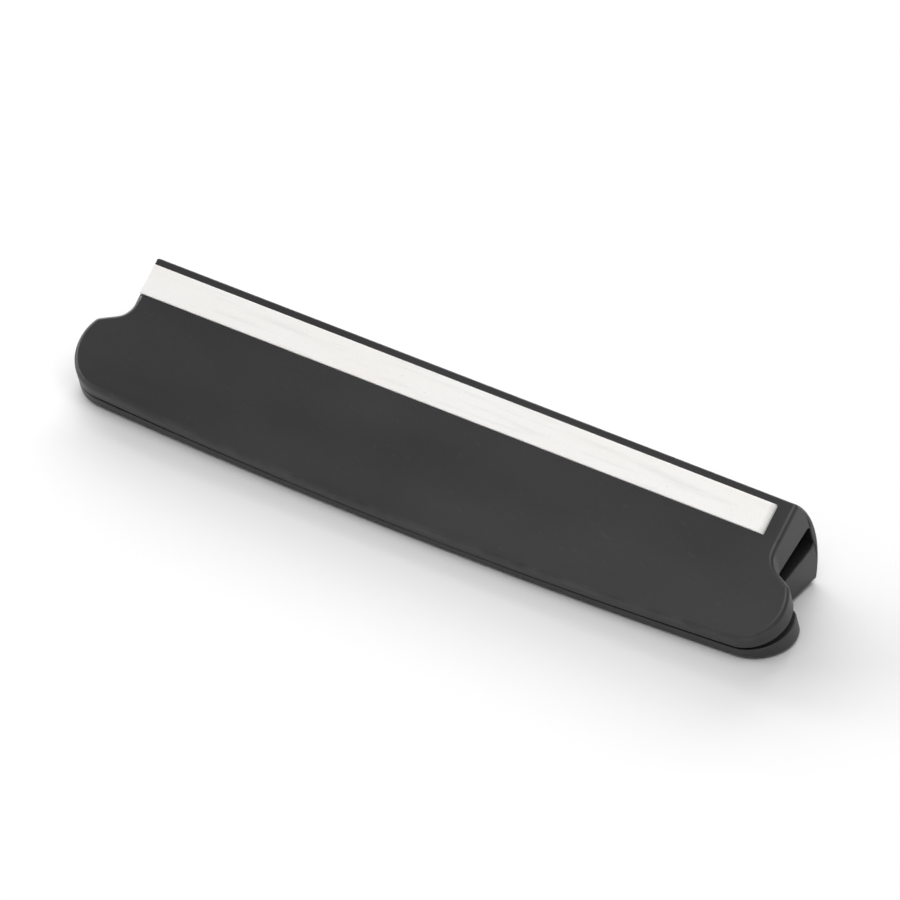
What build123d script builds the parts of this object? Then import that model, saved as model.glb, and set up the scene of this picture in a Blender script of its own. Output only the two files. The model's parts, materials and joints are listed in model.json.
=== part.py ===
from build123d import *
import os
from math import atan2, cos, degrees, pi, radians, sin, sqrt, tan

# Slip-on sharpening guide: a springy moulded clip for the back edge of a blade, with a ceramic
# wear strip along the ridge of each jaw. Millimetres. The clip is drawn closed, lying on its
# side planes: X runs along the clip, the mouth opens towards -Y, the bowed back faces +Y, and
# the mid-plane is Z = 0. It is then tipped onto the outer face of its lower jaw, as it lies
# on a bench, and stood on Z = 0 with its box centred on the origin.

BACK_LENGTH = 90.5          # straight part of the clip, between its flat ends
RIDGE_HEIGHT = 7.2          # from the mid-plane to a jaw's ridge
JAW_ANGLE = 17.5            # between a jaw's outer face and the mid-plane, degrees
MOUTH_DEPTH = 18.3          # from the ridges to the lips, at mid-length
BACK_BULGE = 2.0            # how far the bowed back stands behind the ridges

SLOT_REAR = 1.1             # rear wall of the blade slot, behind the ridges
SLOT_REAR_HEIGHT = 1.8      # half of the slot's height at its rear wall
SLOT_LIP_HEIGHT = 0.05      # half of the gap between the closed lips
SLOT_CORNER = 0.6           # radius of the slot's two rear corners
SEAM_HEIGHT = 1.1           # the thin back wall flexes between its seams with the jaws

SHOULDER_DEPTH = 7.15       # from the ridges to where a flat end would meet the lobe's shoulder
SHOULDER_SLOPE = 26.0       # how far the shoulder leans towards the lips, degrees
SHOULDER_HOLLOW = 2.5       # radius of the hollow between the flat end and the shoulder
SHOULDER_CORNER = 1.0       # radius between the shoulder and the round of the lobe
LOBE_RADIUS = 5.1
LOBE_CENTRE_DEPTH = 11.9    # from the ridges
LOBE_CENTRE_INSET = 0.5     # from the flat end, towards mid-length

RIM = 0.85                  # plastic between the ridge and the strip, along the outer face
STRIP_WIDTH = 4.0
STRIP_SEAT_DEPTH = 2.0
STRIP_PROUD = 0.2           # the strip stands this much above the outer face
STRIP_END_WALL = 2.3        # plastic past the strip at the +X end; the seat is open at -X
STRIP_BEVEL = 0.15
STRIP_END_RADIUS = 0.8      # the strip's upper edge at +X is rounded off

FACE_EDGE_RADIUS = 0.6      # outer edges of a jaw's face
RIDGE_RADIUS = 0.2
LIP_RADIUS = 0.15           # inner edges of the lips, where the blade enters

SPARE = 5.0                 # how far a cutting shape runs past what it cuts

half_length = BACK_LENGTH / 2
slope = radians(JAW_ANGLE)
back_radius = (RIDGE_HEIGHT**2 + BACK_BULGE**2) / (2 * BACK_BULGE)


def face_point(along, depth):
    """A point of the upper jaw's section: distance down the outer face, and depth under it."""
    y = -(along * cos(slope) - depth * sin(slope))
    z = RIDGE_HEIGHT - along * sin(slope) - depth * cos(slope)
    return (y, z)


def back_y(height):
    """Where the bowed outer surface of the back lies at a height above the mid-plane."""
    return BACK_BULGE - back_radius + sqrt(back_radius**2 - height**2)


def plan_outline():
    """Both jaws seen square to the mid-plane: flat ends, shoulders, round lobes, bowed lips."""
    lobe_x = half_length - LOBE_CENTRE_INSET
    lip_drop = MOUTH_DEPTH - LOBE_CENTRE_DEPTH
    # The bowed lip line runs into both lobes without a corner.
    lip_radius = (lobe_x**2 + lip_drop**2 - LOBE_RADIUS**2) / (2 * (lip_drop - LOBE_RADIUS))
    lip_centre_y = lip_radius - MOUTH_DEPTH
    reach = lip_radius - LOBE_RADIUS
    tangent_x = lobe_x * lip_radius / reach
    tangent_y = lip_centre_y - (lip_centre_y + LOBE_CENTRE_DEPTH) * lip_radius / reach
    # The shoulder runs out from the flat end until it meets the round of the lobe.
    lean = radians(SHOULDER_SLOPE)
    rise = LOBE_CENTRE_DEPTH - SHOULDER_DEPTH
    across = LOBE_CENTRE_INSET * cos(lean) - rise * sin(lean)
    shoulder_length = sqrt(across**2 - LOBE_CENTRE_INSET**2 - rise**2 + LOBE_RADIUS**2) - across
    shoulder_x = half_length + shoulder_length * cos(lean)
    shoulder_y = -SHOULDER_DEPTH - shoulder_length * sin(lean)
    rear = BACK_BULGE + SPARE

    lines = [Line((-half_length, rear), (half_length, rear))]
    hollows, shoulders = [], []
    for side in (1, -1):
        inner = (side * half_length, -SHOULDER_DEPTH)
        outer = (side * shoulder_x, shoulder_y)
        widest = (side * (lobe_x + LOBE_RADIUS), -LOBE_CENTRE_DEPTH)
        lines.append(Line((side * half_length, rear), inner))
        lines.append(Line(inner, outer))
        lines.append(ThreePointArc(outer, widest, (side * tangent_x, tangent_y)))
        hollows.append(inner)
        shoulders.append(outer)
    lip_ends = [(tangent_x, tangent_y), (-tangent_x, tangent_y)]
    lines.append(ThreePointArc(lip_ends[0], (0, -MOUTH_DEPTH), lip_ends[1]))
    outline = make_face(lines)

    for corners, radius in ((hollows, SHOULDER_HOLLOW), (shoulders, SHOULDER_CORNER)):
        nearest = [outline.vertices().sort_by_distance((*corner, 0))[0] for corner in corners]
        outline = fillet(nearest, radius)
    return outline


def jaw_section():
    """Upper jaw, from its seam with the back wall round the ridge to the lip."""
    past_lips = (MOUTH_DEPTH + SPARE) / cos(slope)
    inner_rise = (SLOT_REAR_HEIGHT - SLOT_LIP_HEIGHT) / (MOUTH_DEPTH + SLOT_REAR)
    seam_outer = (back_y(SEAM_HEIGHT), SEAM_HEIGHT)
    seam_inner = (SLOT_REAR, SEAM_HEIGHT)
    back_middle_height = (SEAM_HEIGHT + RIDGE_HEIGHT) / 2
    back_middle = (back_y(back_middle_height), back_middle_height)
    ridge = (0, RIDGE_HEIGHT)
    face_end = face_point(past_lips, 0)
    slot_end = (-MOUTH_DEPTH - SPARE, SLOT_LIP_HEIGHT - SPARE * inner_rise)
    slot_corner = (SLOT_REAR, SLOT_REAR_HEIGHT)
    outline = make_face([
        ThreePointArc(seam_outer, back_middle, ridge),
        Line(ridge, face_end),
        Line(face_end, slot_end),
        Line(slot_end, slot_corner),
        Line(slot_corner, seam_inner),
        Line(seam_inner, seam_outer),
    ])
    corner = outline.vertices().sort_by_distance((*slot_corner, 0))[0]
    return Plane.YZ * fillet(corner, SLOT_CORNER)


def strip_section():
    """Upper strip, square to the outer face, with its two long outer edges eased."""
    far = RIM + STRIP_WIDTH
    outline = make_face(Polyline(
        face_point(RIM, STRIP_SEAT_DEPTH),
        face_point(RIM, -STRIP_PROUD),
        face_point(far, -STRIP_PROUD),
        face_point(far, STRIP_SEAT_DEPTH),
        close=True,
    ))
    outer = outline.vertices().sort_by(lambda v: v.Y)[-2:]
    return Plane.YZ * chamfer(outer, STRIP_BEVEL)


def seat_section():
    """What the strip's seat takes out of the upper jaw: the strip's own sides, run on outwards."""
    far = RIM + STRIP_WIDTH
    outline = Polyline(
        face_point(RIM, STRIP_SEAT_DEPTH),
        face_point(RIM, -SPARE),
        face_point(far, -SPARE),
        face_point(far, STRIP_SEAT_DEPTH),
        close=True,
    )
    return Plane.YZ * make_face(outline)


def along_clip(shape, start, end):
    """Extrude a section from X = start to X = end."""
    return Pos(start, 0, 0) * extrude(shape, end - start)


def make_upper_jaw():
    """A solid wedge with round lobes at its ends and an open-ended seat beside its ridge."""
    widest = half_length + LOBE_RADIUS
    wedge = along_clip(jaw_section(), -widest, widest)
    outline = Pos(0, 0, -SPARE) * extrude(plan_outline(), RIDGE_HEIGHT + 2 * SPARE)
    jaw = wedge & outline

    face = jaw.faces().filter_by(GeomType.PLANE).sort_by(Axis.Z)[-1]
    ridge = face.edges().sort_by(Axis.Y)[-1]
    jaw = fillet([edge for edge in face.edges() if edge != ridge], FACE_EDGE_RADIUS)

    lips = [edge for edge in jaw.edges().group_by(Axis.Z)[0] if edge.length > BACK_LENGTH / 2]
    jaw = fillet(lips, LIP_RADIUS)

    ridge = jaw.edges().filter_by(Axis.X).sort_by(Axis.Z)[-1]
    jaw = fillet(ridge, RIDGE_RADIUS)

    seat = along_clip(seat_section(), -half_length - SPARE, half_length - STRIP_END_WALL)
    return jaw - seat


def make_upper_strip():
    strip = along_clip(strip_section(), -half_length, half_length - STRIP_END_WALL)
    end_edge = strip.faces().sort_by(Axis.X)[-1].edges().sort_by(Axis.Z)[-1]
    return fillet(end_edge, STRIP_END_RADIUS)


def make_spring_back():
    """The bowed wall between the two seams, thinner than the jaws, so that it flexes."""
    upper_seam = (back_y(SEAM_HEIGHT), SEAM_HEIGHT)
    lower_seam = (back_y(SEAM_HEIGHT), -SEAM_HEIGHT)
    outline = make_face([
        ThreePointArc(upper_seam, (BACK_BULGE, 0), lower_seam),
        Line(lower_seam, (SLOT_REAR, -SEAM_HEIGHT)),
        Line((SLOT_REAR, -SEAM_HEIGHT), (SLOT_REAR, SEAM_HEIGHT)),
        Line((SLOT_REAR, SEAM_HEIGHT), upper_seam),
    ])
    return along_clip(Plane.YZ * outline, -half_length, half_length)


def seated_tilt():
    """How far the clip leans over to lie on its lower strip and lip, from flat on its mid-plane."""
    lip_setback = FACE_EDGE_RADIUS * tan((pi / 2 - slope) / 2)
    face_length = MOUTH_DEPTH / cos(slope) - lip_setback
    strip_edge = RIM + STRIP_WIDTH - STRIP_BEVEL
    return degrees(slope + atan2(STRIP_PROUD, face_length - strip_edge))


def main():
    upper_jaw = make_upper_jaw()
    upper_strip = make_upper_strip()
    level = {
        "upper_jaw": upper_jaw,
        "lower_jaw": mirror(upper_jaw, about=Plane.XY),
        "spring_back": make_spring_back(),
        "upper_ceramic_strip": upper_strip,
        "lower_ceramic_strip": mirror(upper_strip, about=Plane.XY),
    }
    tipped = {node: Rot(X=seated_tilt()) * solid for node, solid in level.items()}
    boxes = [solid.bounding_box() for solid in tipped.values()]
    lowest = min(box.min.Z for box in boxes)
    middle_y = (min(box.min.Y for box in boxes) + max(box.max.Y for box in boxes)) / 2
    stand = Pos(0, -middle_y, -lowest)

    os.makedirs("parts", exist_ok=True)
    for node, solid in tipped.items():
        export_step(stand * solid, f"parts/{node}.step")

    hinge = stand * Rot(X=seated_tilt()) * Pos(0, back_y(SEAM_HEIGHT), SEAM_HEIGHT)
    print("tipped by", seated_tilt(), "degrees; jaw hinge axis along -X through", hinge.position)


main()
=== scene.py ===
import json
from math import atan2, cos, pi, radians, sin, sqrt, tan

import bmesh
import bpy
from mathutils import Matrix, Vector


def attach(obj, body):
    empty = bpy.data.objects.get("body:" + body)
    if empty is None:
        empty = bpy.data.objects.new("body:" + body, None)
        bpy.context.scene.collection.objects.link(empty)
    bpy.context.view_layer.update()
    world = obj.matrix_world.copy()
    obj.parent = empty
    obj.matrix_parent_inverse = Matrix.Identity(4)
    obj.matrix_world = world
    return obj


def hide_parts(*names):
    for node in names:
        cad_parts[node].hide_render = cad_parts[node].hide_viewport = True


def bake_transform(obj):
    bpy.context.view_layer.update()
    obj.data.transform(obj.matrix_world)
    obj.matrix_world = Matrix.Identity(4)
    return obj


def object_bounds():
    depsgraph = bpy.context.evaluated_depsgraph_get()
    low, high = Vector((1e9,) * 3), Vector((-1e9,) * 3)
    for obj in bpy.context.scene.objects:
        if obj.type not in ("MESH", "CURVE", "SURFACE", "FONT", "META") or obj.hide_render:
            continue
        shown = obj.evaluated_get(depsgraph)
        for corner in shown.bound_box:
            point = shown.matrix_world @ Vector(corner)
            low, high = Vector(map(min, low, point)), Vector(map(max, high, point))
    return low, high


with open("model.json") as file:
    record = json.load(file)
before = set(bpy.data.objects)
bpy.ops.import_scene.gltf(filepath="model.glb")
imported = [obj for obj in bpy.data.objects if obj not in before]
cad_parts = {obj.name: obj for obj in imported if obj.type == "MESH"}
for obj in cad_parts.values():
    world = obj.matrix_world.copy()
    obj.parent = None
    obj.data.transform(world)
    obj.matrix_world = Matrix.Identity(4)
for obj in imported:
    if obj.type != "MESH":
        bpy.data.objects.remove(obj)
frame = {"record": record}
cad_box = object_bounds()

# The clip's moulding is drawn in millimetres, closed and lying on its side planes: X along the
# clip, the mouth towards -Y, the mid-plane at Z = 0. clip_to_row() then puts it where the packed
# parts are, in metres.

BACK_LENGTH = 90.5
RIDGE_HEIGHT = 7.2          # from the mid-plane to a jaw's ridge
JAW_ANGLE = radians(17.5)   # between a jaw's outer face and the mid-plane
MOUTH_DEPTH = 18.3          # from the ridges to the lips, at mid-length
BACK_BULGE = 2.0

SLOT_REAR = 1.1             # rear wall of the blade slot, behind the ridges
SLOT_REAR_HEIGHT = 1.8
SLOT_LIP_HEIGHT = 0.05      # half of the gap between the closed lips
SLOT_CORNER = 0.6
SEAM_HEIGHT = 1.1           # where the back wall flexes

SHOULDER_DEPTH = 7.15       # from the ridges to where a flat end would meet the lobe's shoulder
SHOULDER_SLOPE = radians(26)
SHOULDER_HOLLOW = 2.5
SHOULDER_CORNER = 1.0
LOBE_RADIUS = 5.1
LOBE_CENTRE_DEPTH = 11.9
LOBE_CENTRE_INSET = 0.5

RIM = 0.85                  # plastic between the ridge and the strip
STRIP_WIDTH = 4.0
STRIP_SEAT_DEPTH = 2.0
STRIP_PROUD = 0.2
STRIP_EDGE_RADIUS = 0.15
STRIP_END_RADIUS = 0.8
STRIP_END_WALL = 2.3
SEAT_GAP = 0.03             # hairline round the strip, where it sits in its seat

FACE_EDGE_RADIUS = 0.6
LIP_RADIUS = 0.15
RIDGE_RADIUS = 0.15
BACK_EDGE_RADIUS = 0.35
SLOT_EDGE_RADIUS = 0.2      # round the slot's open ends
SEAT_EDGE_RADIUS = 0.08

HALF = BACK_LENGTH / 2
BACK_RADIUS = (RIDGE_HEIGHT**2 + BACK_BULGE**2) / (2 * BACK_BULGE)
INNER_SLOPE = (SLOT_REAR_HEIGHT - SLOT_LIP_HEIGHT) / (MOUTH_DEPTH + SLOT_REAR)
SEAT_END = HALF - STRIP_END_WALL
SEAT_FAR = RIM + STRIP_WIDTH

# How finely the mesh follows each curve.
HOLLOW_STEPS = 14
SHOULDER_STEPS = 6
LOBE_STEPS = 30
HALF_LIP_STEPS = 24
SLOT_CORNER_STEPS = 8
BODY_EDGE_STEPS = 5
STRIP_EDGE_STEPS = 6
WALL_STEP = 0.5             # height of the back wall's faces
FLEX_STEP = 0.02            # and beside the seam, where the wall flexes
FLEX_STEPS = 8              # this many of them on each side of the seam


# The drawing

def back_y(height):
    """Where the bowed outer surface of the back lies at a height above the mid-plane."""
    return BACK_BULGE - BACK_RADIUS + sqrt(BACK_RADIUS**2 - height**2)


def face_z(y):
    """Height of the upper jaw's outer face."""
    return RIDGE_HEIGHT + y * tan(JAW_ANGLE)


def inner_z(y):
    """Height of the upper jaw's inner face, along the slot."""
    return SLOT_LIP_HEIGHT + (y + MOUTH_DEPTH) * INNER_SLOPE


def face_point(along, depth):
    """A point of the upper jaw's section: distance down the outer face, and depth under it."""
    y = -(along * cos(JAW_ANGLE) - depth * sin(JAW_ANGLE))
    z = RIDGE_HEIGHT - along * sin(JAW_ANGLE) - depth * cos(JAW_ANGLE)
    return (y, z)


def clip_to_row():
    """From the drawing to the row frame, by the slot's axis and the jaw hinge."""
    slot = next(m for m in frame["record"]["mounts"] if m["name"] == "blade_slot")
    hinge = Vector(frame["record"]["behaviour"]["joints"][0]["pos_m"])
    tilt = Matrix.Rotation(atan2(-slot["axis"][2], -slot["axis"][1]), 4, "X")
    millimetres = Matrix.Scale(0.001, 4)
    hinge_drawn = Vector((0, back_y(SEAM_HEIGHT), SEAM_HEIGHT))
    return Matrix.Translation(hinge) @ tilt @ millimetres @ Matrix.Translation(-hinge_drawn)


def arc(centre, radius, start, end, steps):
    """Points along an arc, both ends included. Angles in radians."""
    angles = [start + (end - start) * i / steps for i in range(steps + 1)]
    return [(centre[0] + radius * cos(a), centre[1] + radius * sin(a)) for a in angles]


def end_outline():
    """Half the plan outline, from the flat end at +X round the lobe to mid-length of the lips."""
    lobe = Vector((HALF - LOBE_CENTRE_INSET, -LOBE_CENTRE_DEPTH))
    flat_end_foot = Vector((HALF, -SHOULDER_DEPTH))
    down_shoulder = Vector((cos(SHOULDER_SLOPE), -sin(SHOULDER_SLOPE)))
    into_lobe = Vector((-sin(SHOULDER_SLOPE), -cos(SHOULDER_SLOPE)))
    turn = pi / 2 - SHOULDER_SLOPE

    hollow = flat_end_foot + SHOULDER_HOLLOW * Vector((1, tan(turn / 2)))
    # The corner's circle touches the shoulder's line, and the lobe's circle from inside.
    start = flat_end_foot - lobe + SHOULDER_CORNER * into_lobe
    along = -start.dot(down_shoulder)
    along += sqrt(along**2 - start.length_squared + (LOBE_RADIUS - SHOULDER_CORNER) ** 2)
    corner = lobe + start + along * down_shoulder
    lobe_start = atan2(corner.y - lobe.y, corner.x - lobe.x)

    # The bowed lip line runs into the lobe without a corner.
    lip_drop = MOUTH_DEPTH - LOBE_CENTRE_DEPTH
    lip_radius = (lobe.x**2 + lip_drop**2 - LOBE_RADIUS**2) / (2 * (lip_drop - LOBE_RADIUS))
    lip_centre = (0, lip_radius - MOUTH_DEPTH)
    lip_start = atan2(lobe.y - lip_centre[1], lobe.x)

    points = arc(hollow, SHOULDER_HOLLOW, pi, pi + turn, HOLLOW_STEPS)
    points += arc(corner, SHOULDER_CORNER, turn, lobe_start, SHOULDER_STEPS)
    points += arc(lobe, LOBE_RADIUS, lobe_start, lip_start, LOBE_STEPS)[1:]
    points += arc(lip_centre, lip_radius, lip_start, -pi / 2, HALF_LIP_STEPS)[1:]
    return points


def jaw_front():
    """The whole plan outline in front of the flat ends, from the one at +X to the one at -X."""
    right = end_outline()
    return right + [(-x, y) for x, y in reversed(right[:-1])]


def seat_section():
    """The upper strip's seat, from its edge beside the rim, down, across and up again."""
    return [
        face_point(RIM, 0),
        face_point(RIM, STRIP_SEAT_DEPTH),
        face_point(SEAT_FAR, STRIP_SEAT_DEPTH),
        face_point(SEAT_FAR, 0),
    ]


def slot_corner():
    """Upper rear corner of the slot, from the inner face round to the rear wall."""
    lean = atan2(INNER_SLOPE, 1)
    y = SLOT_REAR - SLOT_CORNER
    z = inner_z(y) - SLOT_CORNER / cos(lean)
    return arc((y, z), SLOT_CORNER, pi / 2 + lean, 0, SLOT_CORNER_STEPS)


def wall_heights(top):
    """Heights from top to the mid-plane and its mirror image, close set where the wall flexes."""
    above = SEAM_HEIGHT + FLEX_STEP * FLEX_STEPS
    below = SEAM_HEIGHT - FLEX_STEP * FLEX_STEPS
    count = max(1, round((top - above) / WALL_STEP))
    heights = [top + (above - top) * i / count for i in range(count)]
    heights += [above - FLEX_STEP * i for i in range(2 * FLEX_STEPS)]
    heights += [below, below / 2]
    return heights + [0.0] + [-z for z in reversed(heights)]


# Meshes

class Skin:
    """A closed mesh put together from faces that share their corners, with a radius per edge."""

    def __init__(self):
        self.mesh = bmesh.new()
        self.corners = {}
        self.radii = {}

    def key(self, point):
        return tuple(round(c, 5) for c in point)

    def corner(self, point):
        key = self.key(point)
        if key not in self.corners:
            self.corners[key] = self.mesh.verts.new(key)
        return self.corners[key]

    def face(self, points):
        """One flat face and its mirror image in the mid-plane."""
        for side in (1, -1):
            self.centre_face([(x, y, side * z) for x, y, z in points])

    def centre_face(self, points):
        """One face that is its own mirror image, or one of a section that crosses the mid-plane."""
        self.mesh.faces.new([self.corner(point) for point in points])

    def round_edges(self, points, radius):
        """Gives the edges along a chain of points, and their mirror images, a radius."""
        for a, b in zip(points, points[1:]):
            for side in (1, -1):
                ends = [self.key((x, y, side * z)) for x, y, z in (a, b)]
                self.radii[frozenset(ends)] = radius

    def weigh_edges(self, widest):
        """Gives each edge its share of the widest radius, as the bevel reads it."""
        weight = self.mesh.edges.layers.float.new("bevel_weight_edge")
        keys = {vertex: key for key, vertex in self.corners.items()}
        for edge in self.mesh.edges:
            ends = frozenset(keys[vertex] for vertex in edge.verts)
            edge[weight] = self.radii.get(ends, 0) / widest

    def to_mesh(self, name, edge_steps):
        """Makes the piece: edges rounded and marked, and the mesh moved into the row."""
        widest = max(self.radii.values())
        self.weigh_edges(widest)
        bmesh.ops.recalc_face_normals(self.mesh, faces=self.mesh.faces)
        drawn = bpy.data.meshes.new(name)
        self.mesh.to_mesh(drawn)
        self.mesh.free()
        for polygon in drawn.polygons:
            polygon.use_smooth = True
        piece = bpy.data.objects.new(name, drawn)
        bpy.context.collection.objects.link(piece)
        round_and_mark(piece, widest, edge_steps)
        piece.data.transform(clip_to_row())
        return piece


def round_and_mark(piece, widest, edge_steps):
    """Rounds a piece's weighted edges. Its "edge" attribute is 1 inside them, 0 on the flats."""
    flat, rounded = 0, 1
    for _ in (flat, rounded):
        piece.data.materials.append(None)
    bevel = piece.modifiers.new("rounded edges", "BEVEL")
    bevel.limit_method = "WEIGHT"
    bevel.width = widest
    bevel.segments = edge_steps
    bevel.material = rounded
    bevel.use_clamp_overlap = False
    bevel.harden_normals = True
    bevel.miter_outer = "MITER_ARC"
    depsgraph = bpy.context.evaluated_depsgraph_get()
    piece.data = bpy.data.meshes.new_from_object(piece.evaluated_get(depsgraph))
    piece.modifiers.clear()

    mark = piece.data.attributes.new("edge", "FLOAT", "POINT")
    values = [1.0] * len(piece.data.vertices)
    for polygon in piece.data.polygons:
        if polygon.material_index == flat:
            for vertex in polygon.vertices:
                values[vertex] = 0.0
        polygon.material_index = 0
    mark.data.foreach_set("value", values)
    piece.data.materials.clear()


def at_x(x, section):
    """Points of the section (y, z) at one place along the clip."""
    return [(x, y, z) for y, z in section]


def along_clip(add_face, section):
    """Long faces from one flat end to the other, one for each step of a section."""
    for a, b in zip(section, section[1:]):
        add_face(at_x(HALF, [a, b]) + at_x(-HALF, [b, a]))


def make_body():
    """The moulding: both jaws, their seats and the bowed back, as one closed surface."""
    skin = Skin()
    front = jaw_front()
    seat = seat_section()
    corner = slot_corner()
    back = [(back_y(z), z) for z in wall_heights(RIDGE_HEIGHT)]
    wall = [(SLOT_REAR, z) for z in wall_heights(corner[-1][1])]

    add_jaws(skin, front, seat, corner)
    add_seats(skin, seat)
    along_clip(skin.face, corner)
    along_clip(skin.centre_face, back)
    along_clip(skin.centre_face, wall)
    add_flat_ends(skin, front[0][1], seat, corner, back, wall)
    return skin.to_mesh("moulded_body", BODY_EDGE_STEPS)


def add_jaws(skin, front, seat, corner):
    """Outer and inner faces of both jaws, and the wall between them round the front."""
    face_edge = [(x, y, face_z(y)) for x, y in front]
    inner_edge = [(x, y, inner_z(y)) for x, y in front]
    seat_rear = [(-HALF, *seat[0]), (SEAT_END, *seat[0])]
    seat_front = [(-HALF, *seat[-1]), (SEAT_END, *seat[-1])]
    ridge = [(-HALF, 0.0, RIDGE_HEIGHT), (HALF, 0.0, RIDGE_HEIGHT)]
    skin.face(face_edge + seat_front + seat_rear[::-1] + ridge)
    skin.face(inner_edge + [(-HALF, *corner[0]), (HALF, *corner[0])])
    for i in range(len(front) - 1):
        skin.face([face_edge[i], face_edge[i + 1], inner_edge[i + 1], inner_edge[i]])
    skin.round_edges(face_edge, FACE_EDGE_RADIUS)
    skin.round_edges(inner_edge, LIP_RADIUS)
    skin.round_edges(ridge, RIDGE_RADIUS)
    skin.round_edges(seat_front + seat_rear[::-1], SEAT_EDGE_RADIUS)


def add_seats(skin, seat):
    """The walls and floor of both seats, open at -X and closed at +X."""
    for a, b in zip(seat, seat[1:]):
        skin.face([(-HALF, *a), (SEAT_END, *a), (SEAT_END, *b), (-HALF, *b)])
    skin.face(at_x(SEAT_END, seat))


def add_flat_ends(skin, front_y, seat, corner, back, wall):
    """Both flat ends. The seats show as notches in the one at -X."""
    ridge = (0.0, RIDGE_HEIGHT)
    outer = (front_y, face_z(front_y))
    slot = [(front_y, inner_z(front_y))] + corner
    inside = slot + wall[1:-1] + [(y, -z) for y, z in reversed(slot)]
    for x, top in ((HALF, [ridge]), (-HALF, seat[::-1] + [ridge])):
        upper = [outer] + top
        outside = upper + back[1:-1] + [(y, -z) for y, z in reversed(upper)]
        skin.centre_face(at_x(x, outside + inside[::-1]))
        skin.round_edges(at_x(x, back), BACK_EDGE_RADIUS)
        skin.round_edges(at_x(x, slot), SLOT_EDGE_RADIUS)
        skin.round_edges(at_x(x, wall), SLOT_EDGE_RADIUS)
    skin.round_edges(at_x(HALF, [outer, ridge]), FACE_EDGE_RADIUS)
    skin.round_edges(at_x(-HALF, [outer, seat[-1]]), FACE_EDGE_RADIUS)
    skin.round_edges(at_x(-HALF, [seat[0], ridge]), SEAT_EDGE_RADIUS)


def make_strip(name, side):
    """A ground ceramic strip, a hairline smaller than its seat, with all its edges eased."""
    skin = Skin()
    near = RIM + SEAT_GAP
    far = SEAT_FAR - SEAT_GAP
    foot = STRIP_SEAT_DEPTH - SEAT_GAP
    section = [
        face_point(near, foot),
        face_point(near, -STRIP_PROUD),
        face_point(far, -STRIP_PROUD),
        face_point(far, foot),
    ]
    section = [(y, side * z) for y, z in section]
    start, end = -HALF, SEAT_END - SEAT_GAP
    for a, b in zip(section, section[1:] + section[:1]):
        skin.centre_face([(start, *a), (end, *a), (end, *b), (start, *b)])
    for x, upper_radius in ((start, STRIP_EDGE_RADIUS), (end, STRIP_END_RADIUS)):
        skin.centre_face(at_x(x, section))
        skin.round_edges(at_x(x, section[:2]), STRIP_EDGE_RADIUS)
        skin.round_edges(at_x(x, section[1:3]), upper_radius)
        skin.round_edges(at_x(x, section[2:]), STRIP_EDGE_RADIUS)
    for corner in section[1:3]:
        skin.round_edges([(start, *corner), (end, *corner)], STRIP_EDGE_RADIUS)
    return skin.to_mesh(name, STRIP_EDGE_STEPS)


# Materials. Texture space is the row frame, in metres.

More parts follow.
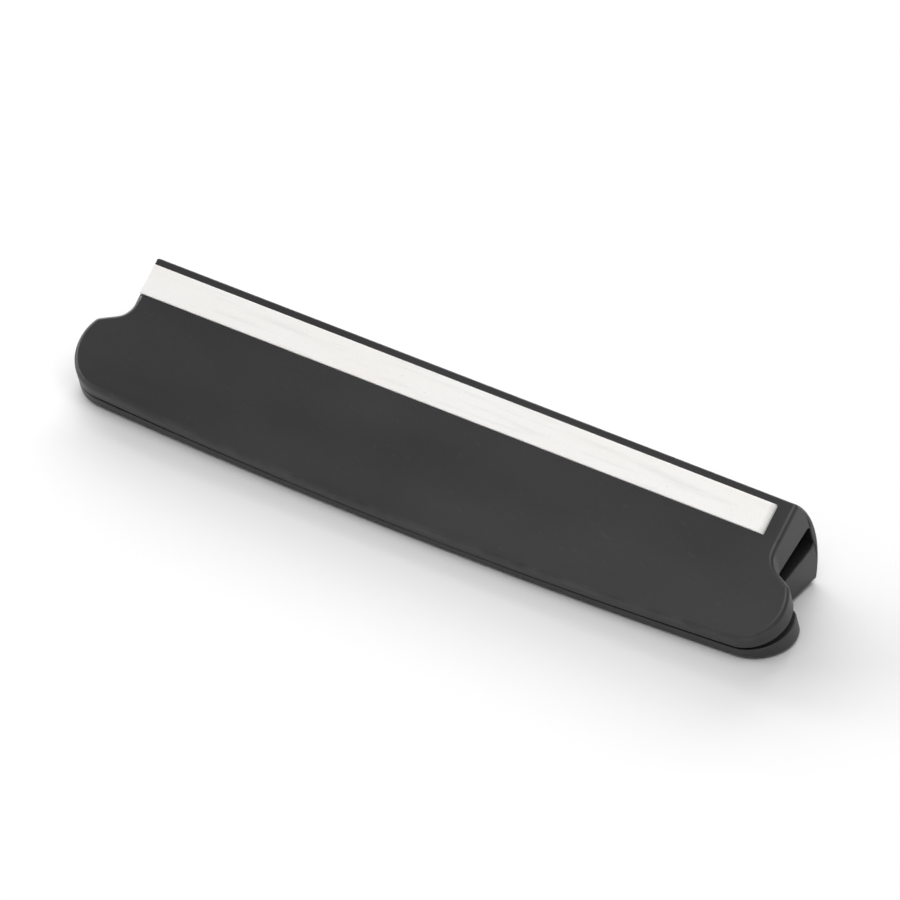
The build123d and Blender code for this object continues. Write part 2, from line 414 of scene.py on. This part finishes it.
class Material:
    """Short forms for putting together one material's nodes."""

    # A Mix node has sockets of the same name for each kind of data, so its colour ones go by
    # number.
    MIX_SHARE, MIX_A, MIX_B, MIXED = 0, 6, 7, 2

    def __init__(self, name):
        self.material = bpy.data.materials.new(name)
        self.material.use_nodes = True
        self.tree = self.material.node_tree
        self.shader = self.tree.nodes["Principled BSDF"]
        self.place = self.node("ShaderNodeTexCoord").outputs["Object"]

    def node(self, kind, **inputs):
        """Adds a node. An input is a value or another node's output; names use _ for a space."""
        made = self.tree.nodes.new(kind)
        for name, value in inputs.items():
            self.put(made.inputs[name.replace("_", " ")], value)
        return made

    def put(self, socket, value):
        if isinstance(value, bpy.types.NodeSocket):
            self.tree.links.new(value, socket)
        else:
            socket.default_value = value

    def noise(self, feature, detail=2.0, stretch=1.0, turn=0.0, roughness=0.5):
        """Noise with features of about one size, in metres, drawn out along X by stretch."""
        size = (1 / (feature * stretch), 1 / feature, 1 / feature)
        turned = self.node("ShaderNodeMapping", Vector=self.place, Rotation=(0, 0, turn))
        scaled = self.node("ShaderNodeMapping", Vector=turned.outputs["Vector"], Scale=size)
        made = self.node(
            "ShaderNodeTexNoise",
            Vector=scaled.outputs["Vector"], Scale=1.0, Detail=detail, Roughness=roughness,
        )
        return made.outputs["Fac"]

    def specks(self, spacing, radius):
        """1 inside small round specks, 0 between them. The radius is a share of the spacing."""
        solid_radius = radius * 0.6
        cells = self.node("ShaderNodeTexVoronoi", Vector=self.place, Scale=1 / spacing)
        return self.remap(cells.outputs["Distance"], (radius, solid_radius), (0.0, 1.0))

    def remap(self, value, given, wanted):
        """Turns the range given into the range wanted, and holds the ends."""
        made = self.node(
            "ShaderNodeMapRange",
            Value=value,
            From_Min=given[0], From_Max=given[1], To_Min=wanted[0], To_Max=wanted[1],
        )
        return made.outputs["Result"]

    def calculate(self, operation, a, b):
        made = self.tree.nodes.new("ShaderNodeMath")
        made.operation = operation
        self.put(made.inputs[0], a)
        self.put(made.inputs[1], b)
        return made.outputs[0]

    def add(self, a, b):
        return self.calculate("ADD", a, b)

    def times(self, a, b):
        return self.calculate("MULTIPLY", a, b)

    def larger(self, a, b):
        return self.calculate("MAXIMUM", a, b)

    def rounded_edge_patches(self, patch_size):
        """Patches along the rounded edges, 0 on the flats: worn edges, and on the plastic also a
        painted highlight.
        """
        edge = self.tree.nodes.new("ShaderNodeAttribute")
        edge.attribute_name = "edge"
        patches = self.remap(self.noise(patch_size, detail=3.0), (0.4, 0.65), (0.25, 1.0))
        return self.times(edge.outputs["Fac"], patches)

    def mix(self, share, a, b):
        """Colour a where share is 0, colour b where it is 1."""
        made = self.tree.nodes.new("ShaderNodeMix")
        made.data_type = "RGBA"
        self.put(made.inputs[self.MIX_SHARE], share)
        self.put(made.inputs[self.MIX_A], a)
        self.put(made.inputs[self.MIX_B], b)
        return made.outputs[self.MIXED]

    def bump(self, height, depth, normal=None):
        """Raises the surface by up to depth, in metres, on top of another bump's normal."""
        made = self.node("ShaderNodeBump", Strength=1.0, Distance=depth, Height=height)
        if normal is not None:
            self.put(made.inputs["Normal"], normal)
        return made.outputs["Normal"]

    def finish(self, colour, roughness, normal):
        self.put(self.shader.inputs["Base Color"], colour)
        self.put(self.shader.inputs["Roughness"], roughness)
        self.put(self.shader.inputs["Normal"], normal)
        return self.material


def make_plastic():
    """Black moulded plastic: fine eroded grain, faint flow and scuffs, rounded edges lighter, as
    worn plastic and as a painted highlight.
    """
    plastic = Material("black moulded plastic")
    black = (0.0150, 0.0148, 0.0164, 1)
    grey_black = (0.0215, 0.0212, 0.0232, 1)
    # Lighter grey-black for scuffs, and on the rounded edges for worn plastic and a painted
    # highlight.
    rubbed_and_highlight = (0.058, 0.0575, 0.061, 1)
    dust = (0.16, 0.155, 0.15, 1)

    flow = plastic.noise(feature=0.012, detail=3.0, stretch=2.5)
    grain = plastic.noise(feature=0.00016, detail=3.0, roughness=0.6)
    pits = plastic.noise(feature=0.0006)
    scuffs = plastic.larger(
        plastic.remap(plastic.noise(feature=0.0003, stretch=30, turn=0.35), (0.66, 0.74), (0, 1)),
        plastic.remap(plastic.noise(feature=0.00025, stretch=24, turn=-0.8), (0.68, 0.76), (0, 1)),
    )
    edge_patches = plastic.rounded_edge_patches(patch_size=0.004)
    specks = plastic.specks(spacing=0.0045, radius=0.016)

    colour = plastic.mix(plastic.remap(flow, (0.35, 0.65), (0, 1)), black, grey_black)
    colour = plastic.mix(plastic.times(scuffs, 0.22), colour, rubbed_and_highlight)
    # Painted highlight: the rounded edges are made lighter, partly as worn plastic and partly in
    # place of their reflections.
    colour = plastic.mix(plastic.times(edge_patches, 0.55), colour, rubbed_and_highlight)
    colour = plastic.mix(plastic.times(specks, 0.5), colour, dust)

    roughness = plastic.remap(flow, (0.3, 0.7), (0.40, 0.49))
    roughness = plastic.add(roughness, plastic.remap(grain, (0.3, 0.7), (-0.03, 0.03)))
    roughness = plastic.add(roughness, plastic.times(scuffs, -0.05))
    roughness = plastic.add(roughness, plastic.times(edge_patches, -0.06))

    normal = plastic.bump(grain, depth=0.000012)
    normal = plastic.bump(pits, 0.000016, normal)
    normal = plastic.bump(flow, 0.00006, normal)
    return plastic.finish(colour, roughness, normal)


def make_ceramic():
    """White unglazed ceramic: ground lengthwise, fine speckle, few pores, edges a little grey."""
    ceramic = Material("white ground ceramic")
    white = (0.955, 0.945, 0.925, 1)
    warm_white = (0.945, 0.92, 0.885, 1)
    grey = (0.56, 0.56, 0.55, 1)
    pore = (0.42, 0.40, 0.37, 1)

    tint = ceramic.noise(feature=0.007, detail=3.0, stretch=3)
    speckle = ceramic.noise(feature=0.00022)
    grinding = ceramic.noise(feature=0.00012, stretch=60)
    streaks = ceramic.noise(feature=0.0007, detail=3.0, stretch=18)
    edge_patches = ceramic.rounded_edge_patches(patch_size=0.0015)
    pores = ceramic.specks(spacing=0.0016, radius=0.05)

    colour = ceramic.mix(ceramic.remap(tint, (0.35, 0.65), (0, 1)), white, warm_white)
    colour = ceramic.mix(ceramic.remap(speckle, (0.45, 0.8), (0, 0.11)), colour, grey)
    colour = ceramic.mix(ceramic.remap(streaks, (0.54, 0.75), (0, 0.20)), colour, grey)
    colour = ceramic.mix(ceramic.times(edge_patches, 0.22), colour, grey)
    colour = ceramic.mix(ceramic.times(pores, 0.5), colour, pore)

    roughness = ceramic.remap(streaks, (0.3, 0.7), (0.48, 0.36))
    roughness = ceramic.add(roughness, ceramic.remap(speckle, (0.3, 0.7), (-0.04, 0.04)))

    normal = ceramic.bump(grinding, depth=0.000004)
    normal = ceramic.bump(speckle, 0.000003, normal)
    return ceramic.finish(colour, roughness, normal)


def make_table_top():
    """Matt white laminate, with a faint tint and a fine grain."""
    table = Material("white table")
    white = (0.79, 0.79, 0.79, 1)
    warm_white = (0.80, 0.799, 0.797, 1)

    tint = table.noise(feature=0.05)
    grain = table.noise(feature=0.0005)
    colour = table.mix(tint, white, warm_white)
    roughness = table.remap(grain, (0.3, 0.7), (0.55, 0.65))
    return table.finish(colour, roughness, table.bump(grain, depth=0.000004))


# The object

body = make_body()
body.data.materials.append(make_plastic())
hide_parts("lower_jaw", "upper_jaw", "spring_back")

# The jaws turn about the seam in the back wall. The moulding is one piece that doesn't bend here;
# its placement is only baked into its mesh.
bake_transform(body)

ceramic = make_ceramic()
for name, side, cad_body, node in (
    ("lower_strip", -1, "lower_body", "lower_ceramic_strip"),
    ("upper_strip", 1, "upper_body", "upper_ceramic_strip"),
):
    strip = make_strip(name, side)
    strip.data.materials.append(ceramic)
    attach(strip, cad_body)
    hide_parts(node)


# Floor, light and camera

FLOOR_RADIUS = 0.5
FLOOR_SEGMENTS = 128

WORLD_LIGHT = 0.27
HORIZON_LIGHT = 0.90
HORIZON_PALE = radians(3)   # the world is this pale up to here,
HORIZON_END = radians(9)    # and fades into the light from above by here

# Name, place, size and power. All of them face the object.
SOFTBOXES = (
    ("overhead softbox", (0.115, -0.10, 0.34), (0.34, 0.30), 0.75),
    ("rear softbox", (-0.50, 0.80, 0.45), (1.3, 0.32), 10.6),
    ("left softbox", (-0.90, -0.05, 0.38), (1.1, 0.3), 6.0),
)

CAMERA_AZIMUTH = radians(33.3)
CAMERA_ELEVATION = radians(36.3)
CAMERA_DISTANCE = 2.017
CAMERA_LENS = 682
CAMERA_NEAR = 0.1
CAMERA_FAR = 20


def make_floor():
    """A round table top, so that low views from every side see the same level edge."""
    top = bmesh.new()
    bmesh.ops.create_circle(top, cap_ends=True, segments=FLOOR_SEGMENTS, radius=FLOOR_RADIUS)
    mesh = bpy.data.meshes.new("floor")
    top.to_mesh(mesh)
    top.free()
    mesh.materials.append(make_table_top())
    floor = bpy.data.objects.new("floor", mesh)
    bpy.context.collection.objects.link(floor)


def make_softbox(name, place, size, power):
    light = bpy.data.lights.new(name, "AREA")
    light.shape = "RECTANGLE"
    light.size, light.size_y = size
    light.energy = power
    box = bpy.data.objects.new(name, light)
    box.location = place
    box.rotation_euler = (-Vector(place)).to_track_quat("-Z", "Y").to_euler()
    bpy.context.collection.objects.link(box)


def make_world():
    """Even light from above, and paler low down, where a low view looks past the floor's edge."""
    world = bpy.data.worlds.new("studio")
    world.use_nodes = True
    nodes, links = world.node_tree.nodes, world.node_tree.links
    direction = nodes.new("ShaderNodeTexCoord")
    height = nodes.new("ShaderNodeSeparateXYZ")
    fade = nodes.new("ShaderNodeMapRange")
    fade.interpolation_type = "SMOOTHSTEP"
    fade.inputs["From Min"].default_value = sin(HORIZON_PALE)
    fade.inputs["From Max"].default_value = sin(HORIZON_END)
    fade.inputs["To Min"].default_value = HORIZON_LIGHT
    fade.inputs["To Max"].default_value = WORLD_LIGHT
    links.new(direction.outputs["Generated"], height.inputs["Vector"])
    links.new(height.outputs["Z"], fade.inputs["Value"])
    links.new(fade.outputs["Result"], nodes["Background"].inputs["Strength"])
    nodes["Background"].inputs["Color"].default_value = (1, 1, 1, 1)
    bpy.context.scene.world = world


def make_camera():
    """Looks at the middle of the CAD box from the front right, far off, through a long lens."""
    low, high = cad_box
    target = (low + high) / 2
    level = cos(CAMERA_ELEVATION)
    back = Vector((
        sin(CAMERA_AZIMUTH) * level,
        -cos(CAMERA_AZIMUTH) * level,
        sin(CAMERA_ELEVATION),
    ))
    data = bpy.data.cameras.new("camera")
    data.lens = CAMERA_LENS
    data.clip_start = CAMERA_NEAR
    data.clip_end = CAMERA_FAR
    camera = bpy.data.objects.new("camera", data)
    camera.location = target + back * CAMERA_DISTANCE
    camera.rotation_mode = "QUATERNION"
    camera.rotation_quaternion = (-back).to_track_quat("-Z", "Y")
    bpy.context.collection.objects.link(camera)
    bpy.context.scene.camera = camera


make_floor()
for softbox in SOFTBOXES:
    make_softbox(*softbox)
make_world()
bpy.context.scene.view_settings.view_transform = "Standard"
make_camera()
